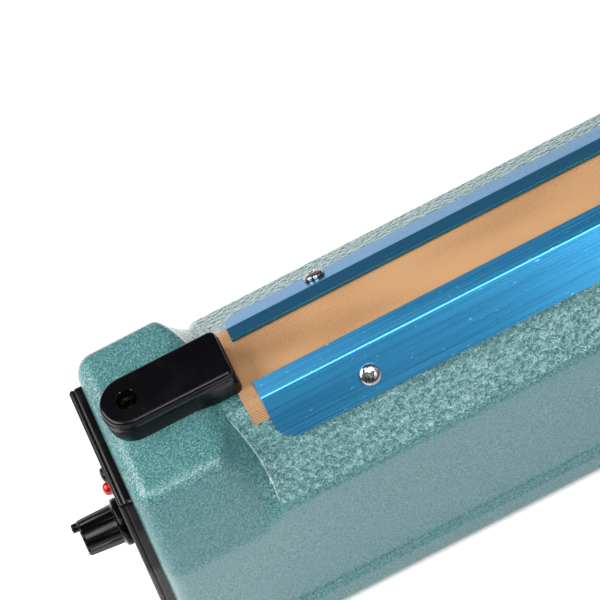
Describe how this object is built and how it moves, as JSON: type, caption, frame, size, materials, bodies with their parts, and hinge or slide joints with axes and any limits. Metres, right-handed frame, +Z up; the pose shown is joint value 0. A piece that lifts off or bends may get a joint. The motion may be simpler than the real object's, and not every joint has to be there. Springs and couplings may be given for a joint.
{
  "type": "impulse heat sealer",
  "caption": "Hand impulse heat sealer: cast hammertone base with a cloth covered heated jaw, clamp strips, timer panel and a hinged, sprung pressing arm.",
  "frame": {"origin": "middle of the footprint, on the surface that the rubber feet stand on", "axes": "+X along the jaw from the control panel to the arm's hinge, +Y across to the far side, +Z up"},
  "size_m": [0.4844, 0.092, 0.3967],
  "materials": {
    "housing_paint": "glossy teal hammertone enamel over the casting",
    "panel_plastic": "fine satin black moulded plastic",
    "moulded_black": "glossy black moulded plastic",
    "blue_anodised": "blue anodised, with fine lengthwise drawing lines",
    "ptfe_cloth": "tan PTFE coated glass cloth, fine plain weave, satin",
    "screw_steel": "bright nickel plate",
    "plated_steel": "bright zinc plate",
    "lamination_steel": "stacked laminations, dark varnish",
    "brass": "plain brass",
    "bar_aluminium": "plain cast and milled",
    "resistance_alloy": "flat nickel chrome ribbon",
    "glass_cloth": "woven glass tape",
    "coil_wire": "lacquered copper winding under clear tape",
    "circuit_board": "green solder mask",
    "red_lens": "clear red epoxy lens",
    "plunger_plastic": "red moulded plastic",
    "silicone": "matt red brown silicone rubber",
    "foot_rubber": "matt black rubber"
  },
  "bodies": {
    "base": {"base_plate": "plated_steel", "base_screw_1": "screw_steel", "base_screw_2": "screw_steel", "base_screw_3": "screw_steel", "base_screw_4": "screw_steel", "bracket_screw_1": "screw_steel", "bracket_screw_2": "screw_steel", "cable_gland": "panel_plastic", "clamp_strip_far": "blue_anodised", "clamp_strip_near": "blue_anodised", "control_panel": "panel_plastic", "front_cover": "moulded_black", "front_cover_screw": "brass", "front_plate": "brass", "heating_element": "resistance_alloy", "hinge_bracket": "plated_steel", "hinge_pin": "screw_steel", "housing": "housing_paint", "insulating_strip": "glass_cloth", "led": "red_lens", "microswitch": "moulded_black", "panel_screw_1": "panel_plastic", "panel_screw_2": "panel_plastic", "potentiometer": "plated_steel", "ptfe_cloth": "ptfe_cloth", "rear_cover": "moulded_black", "rear_cover_screw": "brass", "rear_panel": "panel_plastic", "rear_plate": "brass", "rear_screw_1": "screw_steel", "rear_screw_2": "screw_steel", "return_spring": "screw_steel", "rubber_foot_1": "foot_rubber", "rubber_foot_2": "foot_rubber", "rubber_foot_3": "foot_rubber", "rubber_foot_4": "foot_rubber", "sealing_bar": "bar_aluminium", "strip_screw_1": "screw_steel", "strip_screw_2": "screw_steel", "strip_screw_3": "screw_steel", "strip_screw_4": "screw_steel", "strip_screw_5": "screw_steel", "strip_screw_6": "screw_steel", "timer_board": "circuit_board", "timer_relay": "moulded_black", "transformer_coil": "coil_wire", "transformer_core": "lamination_steel", "transformer_strap": "plated_steel"},
    "arm": {"arm_beam": "blue_anodised", "arm_bolt": "screw_steel", "arm_end_cap": "panel_plastic", "arm_knuckle": "bar_aluminium", "handle": "moulded_black", "handle_screw_1": "screw_steel", "handle_screw_2": "screw_steel", "silicone_pad": "silicone", "switch_adjuster": "screw_steel"},
    "knob": {"timer_knob": "moulded_black", "timer_shaft": "screw_steel"},
    "plunger": {"switch_plunger": "plunger_plastic"}
  },
  "joints": [
    {"name": "arm_hinge", "type": "hinge", "parent": "base", "child": "arm", "pos_m": [0.1975, 0, 0.117], "axis": [0, -1, 0], "range_deg": [0, 40], "stiffness_Nm_per_rad": 1, "springref_deg": -45.84, "deforming": ["return_spring"]},
    {"name": "knob_turn", "type": "hinge", "parent": "base", "child": "knob", "pos_m": [-0.22357, 0, 0.0449], "axis": [-0.9954, 0, 0.0958], "range_deg": [-135, 135]},
    {"name": "switch_press", "type": "slide", "parent": "base", "child": "plunger", "axis": [0, 0, -1], "range_m": [0, 0.0012], "stiffness_N_per_m": 300, "springref_m": -0.0005}
  ]
}
